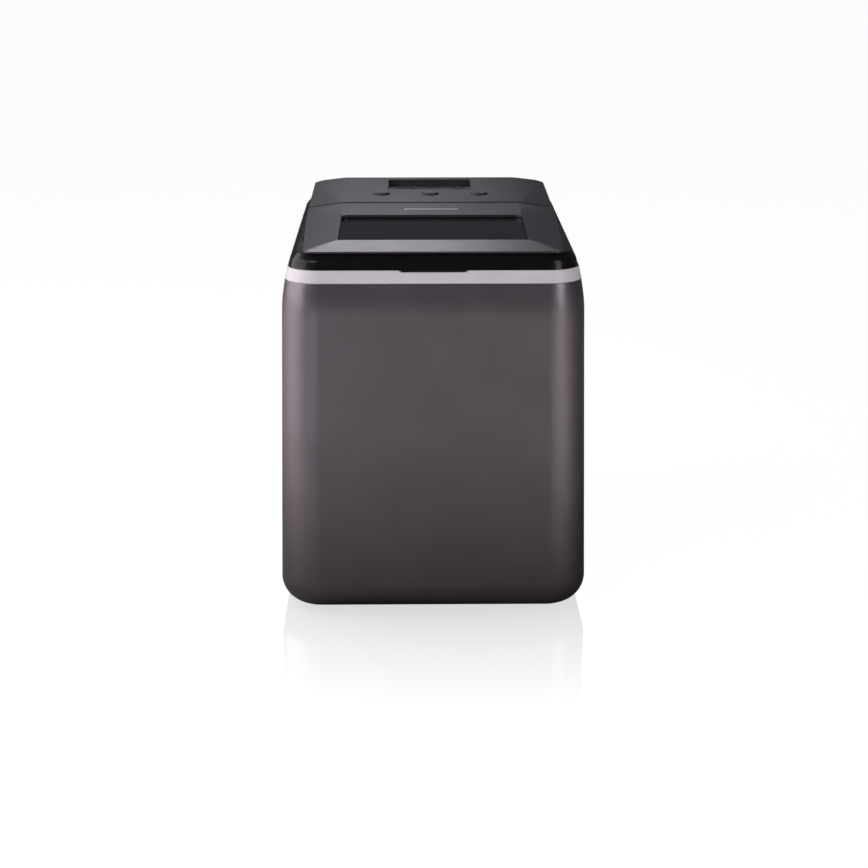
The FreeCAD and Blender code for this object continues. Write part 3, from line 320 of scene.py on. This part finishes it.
def brushed(name, base, low, high, metallic, stretch=(1, 60, 60), depth=0.000006):
    """Fine lines along X, as on brushed sheet."""
    surface = Surface(name)
    surface.colour(base, 0.06, 30, stretch)
    surface.rough(low, high, 40, stretch)
    surface.bump(40, depth, 4, stretch)
    surface.set(Metallic=metallic)
    return surface.material


def clear(name, base, rough, transmission):
    surface = Surface(name)
    surface.colour(base, 0.03)
    surface.rough(rough, rough + 0.05, 200)
    surface.bump(900, 0.000003)
    surface.set(Transmission_Weight=transmission, IOR=ACRYLIC_IOR)
    return surface.material


def drawn_metal(name, base, low, high):
    surface = Surface(name)
    surface.colour(base, 0.08, 60)
    surface.rough(low, high, 120)
    surface.bump(1800, 0.000003)
    surface.set(Metallic=1.0)
    return surface.material


def circuit(name):
    """Solder mask with copper tracks that show as slightly lighter lines."""
    surface = Surface(name)
    cells = surface.tree.nodes.new("ShaderNodeTexVoronoi")
    cells.feature = "DISTANCE_TO_EDGE"
    cells.inputs["Scale"].default_value = TRACKS_PER_METRE
    surface.link(surface.coordinates, cells.inputs["Vector"])
    track = surface.spread(cells.outputs["Distance"], 1, 0, TRACK_START, TRACK_END)
    mixed = surface.blend(track, (0.012, 0.09, 0.045), (0.03, 0.17, 0.08))
    surface.link(mixed, surface.shader.inputs["Base Color"])
    surface.rough(0.3, 0.42, 90)
    return surface.material


def foam_material(name):
    surface = Surface(name)
    surface.colour((0.72, 0.62, 0.38), 0.12, 40)
    surface.rough(0.8, 0.95)
    surface.bump(420, 0.0004, 6)
    return surface.material


def make_materials():
    return {
        "titanium_paint": paint("titanium_paint", (0.215, 0.192, 0.212), 0.34, 0.38, 0.85, (3200, 0.000004)),
        "light_band": paint("light_band", (0.88, 0.85, 0.90), 0.32, 0.4),
        "frame_black": paint("frame_black", (0.006, 0.0055, 0.0065), 0.2, 0.28, 0.0, (700, 0.0000015),
                             shine=0.28),
        "top_satin": brushed("top_satin", (0.081, 0.068, 0.081), 0.32, 0.42, 0.5),
        "smoked_pane": clear("smoked_pane", (0.036, 0.024, 0.036), 0.08, 0.35),
        "key_dark": paint("key_dark", (0.045, 0.042, 0.048), 0.35, 0.45),
        "display_black": paint("display_black", (0.075, 0.068, 0.077), 0.2, 0.28, 0.0, (600, 0.000001), 0.3),
        "circuit_board": circuit("circuit_board"),
        "mark_silver": paint("mark_silver", (0.80, 0.79, 0.82), 0.25, 0.35, 0.3),
        "bin_grey": paint("bin_grey", (0.62, 0.63, 0.66), 0.28, 0.38, 0.0, (1500, 0.000008)),
        "basket_clear": clear("basket_clear", (0.80, 0.85, 0.90), 0.22, 0.75),
        "foam": foam_material("foam"),
        "steel": drawn_metal("steel", (0.55, 0.55, 0.57), 0.28, 0.42),
        "nickel": drawn_metal("nickel", (0.72, 0.71, 0.68), 0.12, 0.22),
        "copper": drawn_metal("copper", (0.78, 0.36, 0.22), 0.22, 0.4),
        "fin_aluminium": drawn_metal("fin_aluminium", (0.78, 0.79, 0.81), 0.3, 0.45),
        "compressor_black": paint("compressor_black", (0.02, 0.02, 0.022), 0.3, 0.42, 0.0, (900, 0.00002)),
        "rubber_black": paint("rubber_black", (0.018, 0.018, 0.02), 0.75, 0.9, 0.0, (1600, 0.00002)),
        "moulded_black": paint("moulded_black", (0.022, 0.021, 0.024), 0.5, 0.62, 0.0, (2200, 0.000014)),
        "motor_white": paint("motor_white", (0.75, 0.75, 0.72), 0.4, 0.5, 0.0, (1800, 0.00001)),
        "silicone": clear("silicone", (0.80, 0.82, 0.82), 0.4, 0.5),
    }


# --------------------------------------------------------------------------------------------------
# CAD nodes: materials, softened edges and smooth shading
# --------------------------------------------------------------------------------------------------

EDGE = 0.00035
EDGE_TURN = math.radians(40)
WELD_REACH = 0.00001


def soften(item):
    """Merge the facets' corners, break sharp edges where the facets leave room and shade the rest smooth."""
    weld = item.modifiers.new("weld", "WELD")
    weld.merge_threshold = WELD_REACH
    bevel = item.modifiers.new("edge", "BEVEL")
    bevel.width = EDGE
    bevel.segments = 2
    bevel.limit_method = "ANGLE"
    bevel.angle_limit = EDGE_TURN
    bevel.harden_normals = False
    even = item.modifiers.new("normals", "WEIGHTED_NORMAL")
    even.keep_sharp = False


def dress_nodes(materials):
    for row in frame["record"]["subparts"]:
        item = NODES[row["node"]]
        item.data.materials.clear()
        item.data.materials.append(materials[row["material_slot"]])
        item.data.polygons.foreach_set("use_smooth", [True] * len(item.data.polygons))
        soften(item)


# --------------------------------------------------------------------------------------------------
# Filter mats behind the side grilles
# --------------------------------------------------------------------------------------------------

MAT_GAP = 0.0021
MAT_THICK = 0.0015
MAT_INSET = 0.002


def span(item):
    corners = [item.matrix_world @ vertex.co for vertex in item.data.vertices]
    return (Vector([min(c[i] for c in corners) for i in range(3)]),
            Vector([max(c[i] for c in corners) for i in range(3)]))


def block(name, low, high, material, body):
    shape = bmesh.new()
    bmesh.ops.create_cube(shape, size=1)
    middle = (low + high) / 2
    for vertex in shape.verts:
        vertex.co = middle + Vector([vertex.co[i] * (high[i] - low[i]) for i in range(3)])
    mesh = bpy.data.meshes.new(name)
    shape.to_mesh(mesh)
    shape.free()
    mesh.materials.append(material)
    item = bpy.data.objects.new(name, mesh)
    bpy.context.scene.collection.objects.link(item)
    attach(item, body)


def filter_mats():
    """Black mats above the condenser and the compressor, on the inside of each side grille."""
    felt = paint("filter_felt", (0.02, 0.02, 0.022), 0.85, 0.95, 0.0, (900, 0.0004))
    start = span(NODES["condenser_fins"])[1].z
    for side, outward in (("left", -1), ("right", 1)):
        low, high = span(NODES["side_grille_" + side])
        near = min(abs(low.x), abs(high.x)) - MAT_GAP
        edges = sorted((outward * near, outward * (near - MAT_THICK)))
        block("filter_mat_" + side, Vector((edges[0], low.y + MAT_INSET, start)),
              Vector((edges[1], high.y - MAT_INSET, high.z - MAT_INSET)), felt, "housing")


# --------------------------------------------------------------------------------------------------
# Signs on the keys
# --------------------------------------------------------------------------------------------------

STROKE = 0.00045
STROKE_LIFT = 0.00002
STROKE_HIGH = 0.00006
SIGN_SIZE = 0.0026
LOOKS_UP = 0.7
SAME_WAY = 0.999


def flat_top(item):
    """Centre and normal of the largest face that looks up."""
    faces = [face for face in item.data.polygons if face.normal.z > LOOKS_UP]
    normal = max(faces, key=lambda face: face.area).normal
    top = [face for face in faces if face.normal.dot(normal) > SAME_WAY]
    area = sum(face.area for face in top)
    centre = sum((face.center * face.area for face in top), Vector()) / area
    lift = max((item.data.vertices[i].co - centre).dot(normal) for face in top for i in face.vertices)
    return centre + normal * lift, normal


def strokes(name, item, lines, size, material, body):
    """Thin raised lines on the top of an item; each line is a run of points in units of the size."""
    centre, normal = flat_top(item)
    across = Vector((1, 0, 0))
    along = normal.cross(across).normalized()
    shape = bmesh.new()
    for line in lines:
        for start, end in zip(line, line[1:]):
            start = Vector(start) * size
            end = Vector(end) * size
            run = (end - start).normalized() * STROKE / 2
            side = Vector((-run.y, run.x))
            rim = [start - run + side, start - run - side, end + run - side, end + run + side]
            rings = []
            for high in (STROKE_LIFT, STROKE_HIGH):
                base = centre + normal * high
                rings.append([shape.verts.new(base + across * p.x + along * p.y) for p in rim])
            low, up = rings
            shape.faces.new(low[::-1])
            shape.faces.new(up)
            for i in range(4):
                shape.faces.new((low[i], low[(i + 1) % 4], up[(i + 1) % 4], up[i]))
    bmesh.ops.recalc_face_normals(shape, faces=shape.faces)
    mesh = bpy.data.meshes.new(name)
    shape.to_mesh(mesh)
    shape.free()
    mesh.materials.append(material)
    sign = bpy.data.objects.new(name, mesh)
    bpy.context.scene.collection.objects.link(sign)
    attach(sign, body)


def arc(radius, start, end, steps=20):
    angles = [math.radians(start + (end - start) * i / steps) for i in range(steps + 1)]
    return [(radius * math.sin(a), radius * math.cos(a)) for a in angles]


def sign_keys():
    pale = paint("sign_pale", (0.42, 0.41, 0.44), 0.4, 0.5, 0.0, (2500, 0.000002))
    power = [arc(1, 40, 320), [(0, 0.35), (0, 1.15)]]
    select = [[(-1, 0.7), (1, 0.7)], [(-1, 0), (1, 0)], [(-1, -0.7), (1, -0.7)]]
    drop = [arc(0.75, 60, 300) + [(0, 1.15), arc(0.75, 60, 60, 1)[0]]]
    strokes("power_sign", NODES["button_power"], power, SIGN_SIZE, pale, "power_key")
    strokes("select_sign", NODES["button_select"], select, SIGN_SIZE, pale, "select_key")
    strokes("clean_sign", NODES["button_clean"], drop, SIGN_SIZE, pale, "clean_key")


make_camera()
make_world()
make_lights(make_floor())
materials = make_materials()
dress_nodes(materials)
filter_mats()
sign_keys()
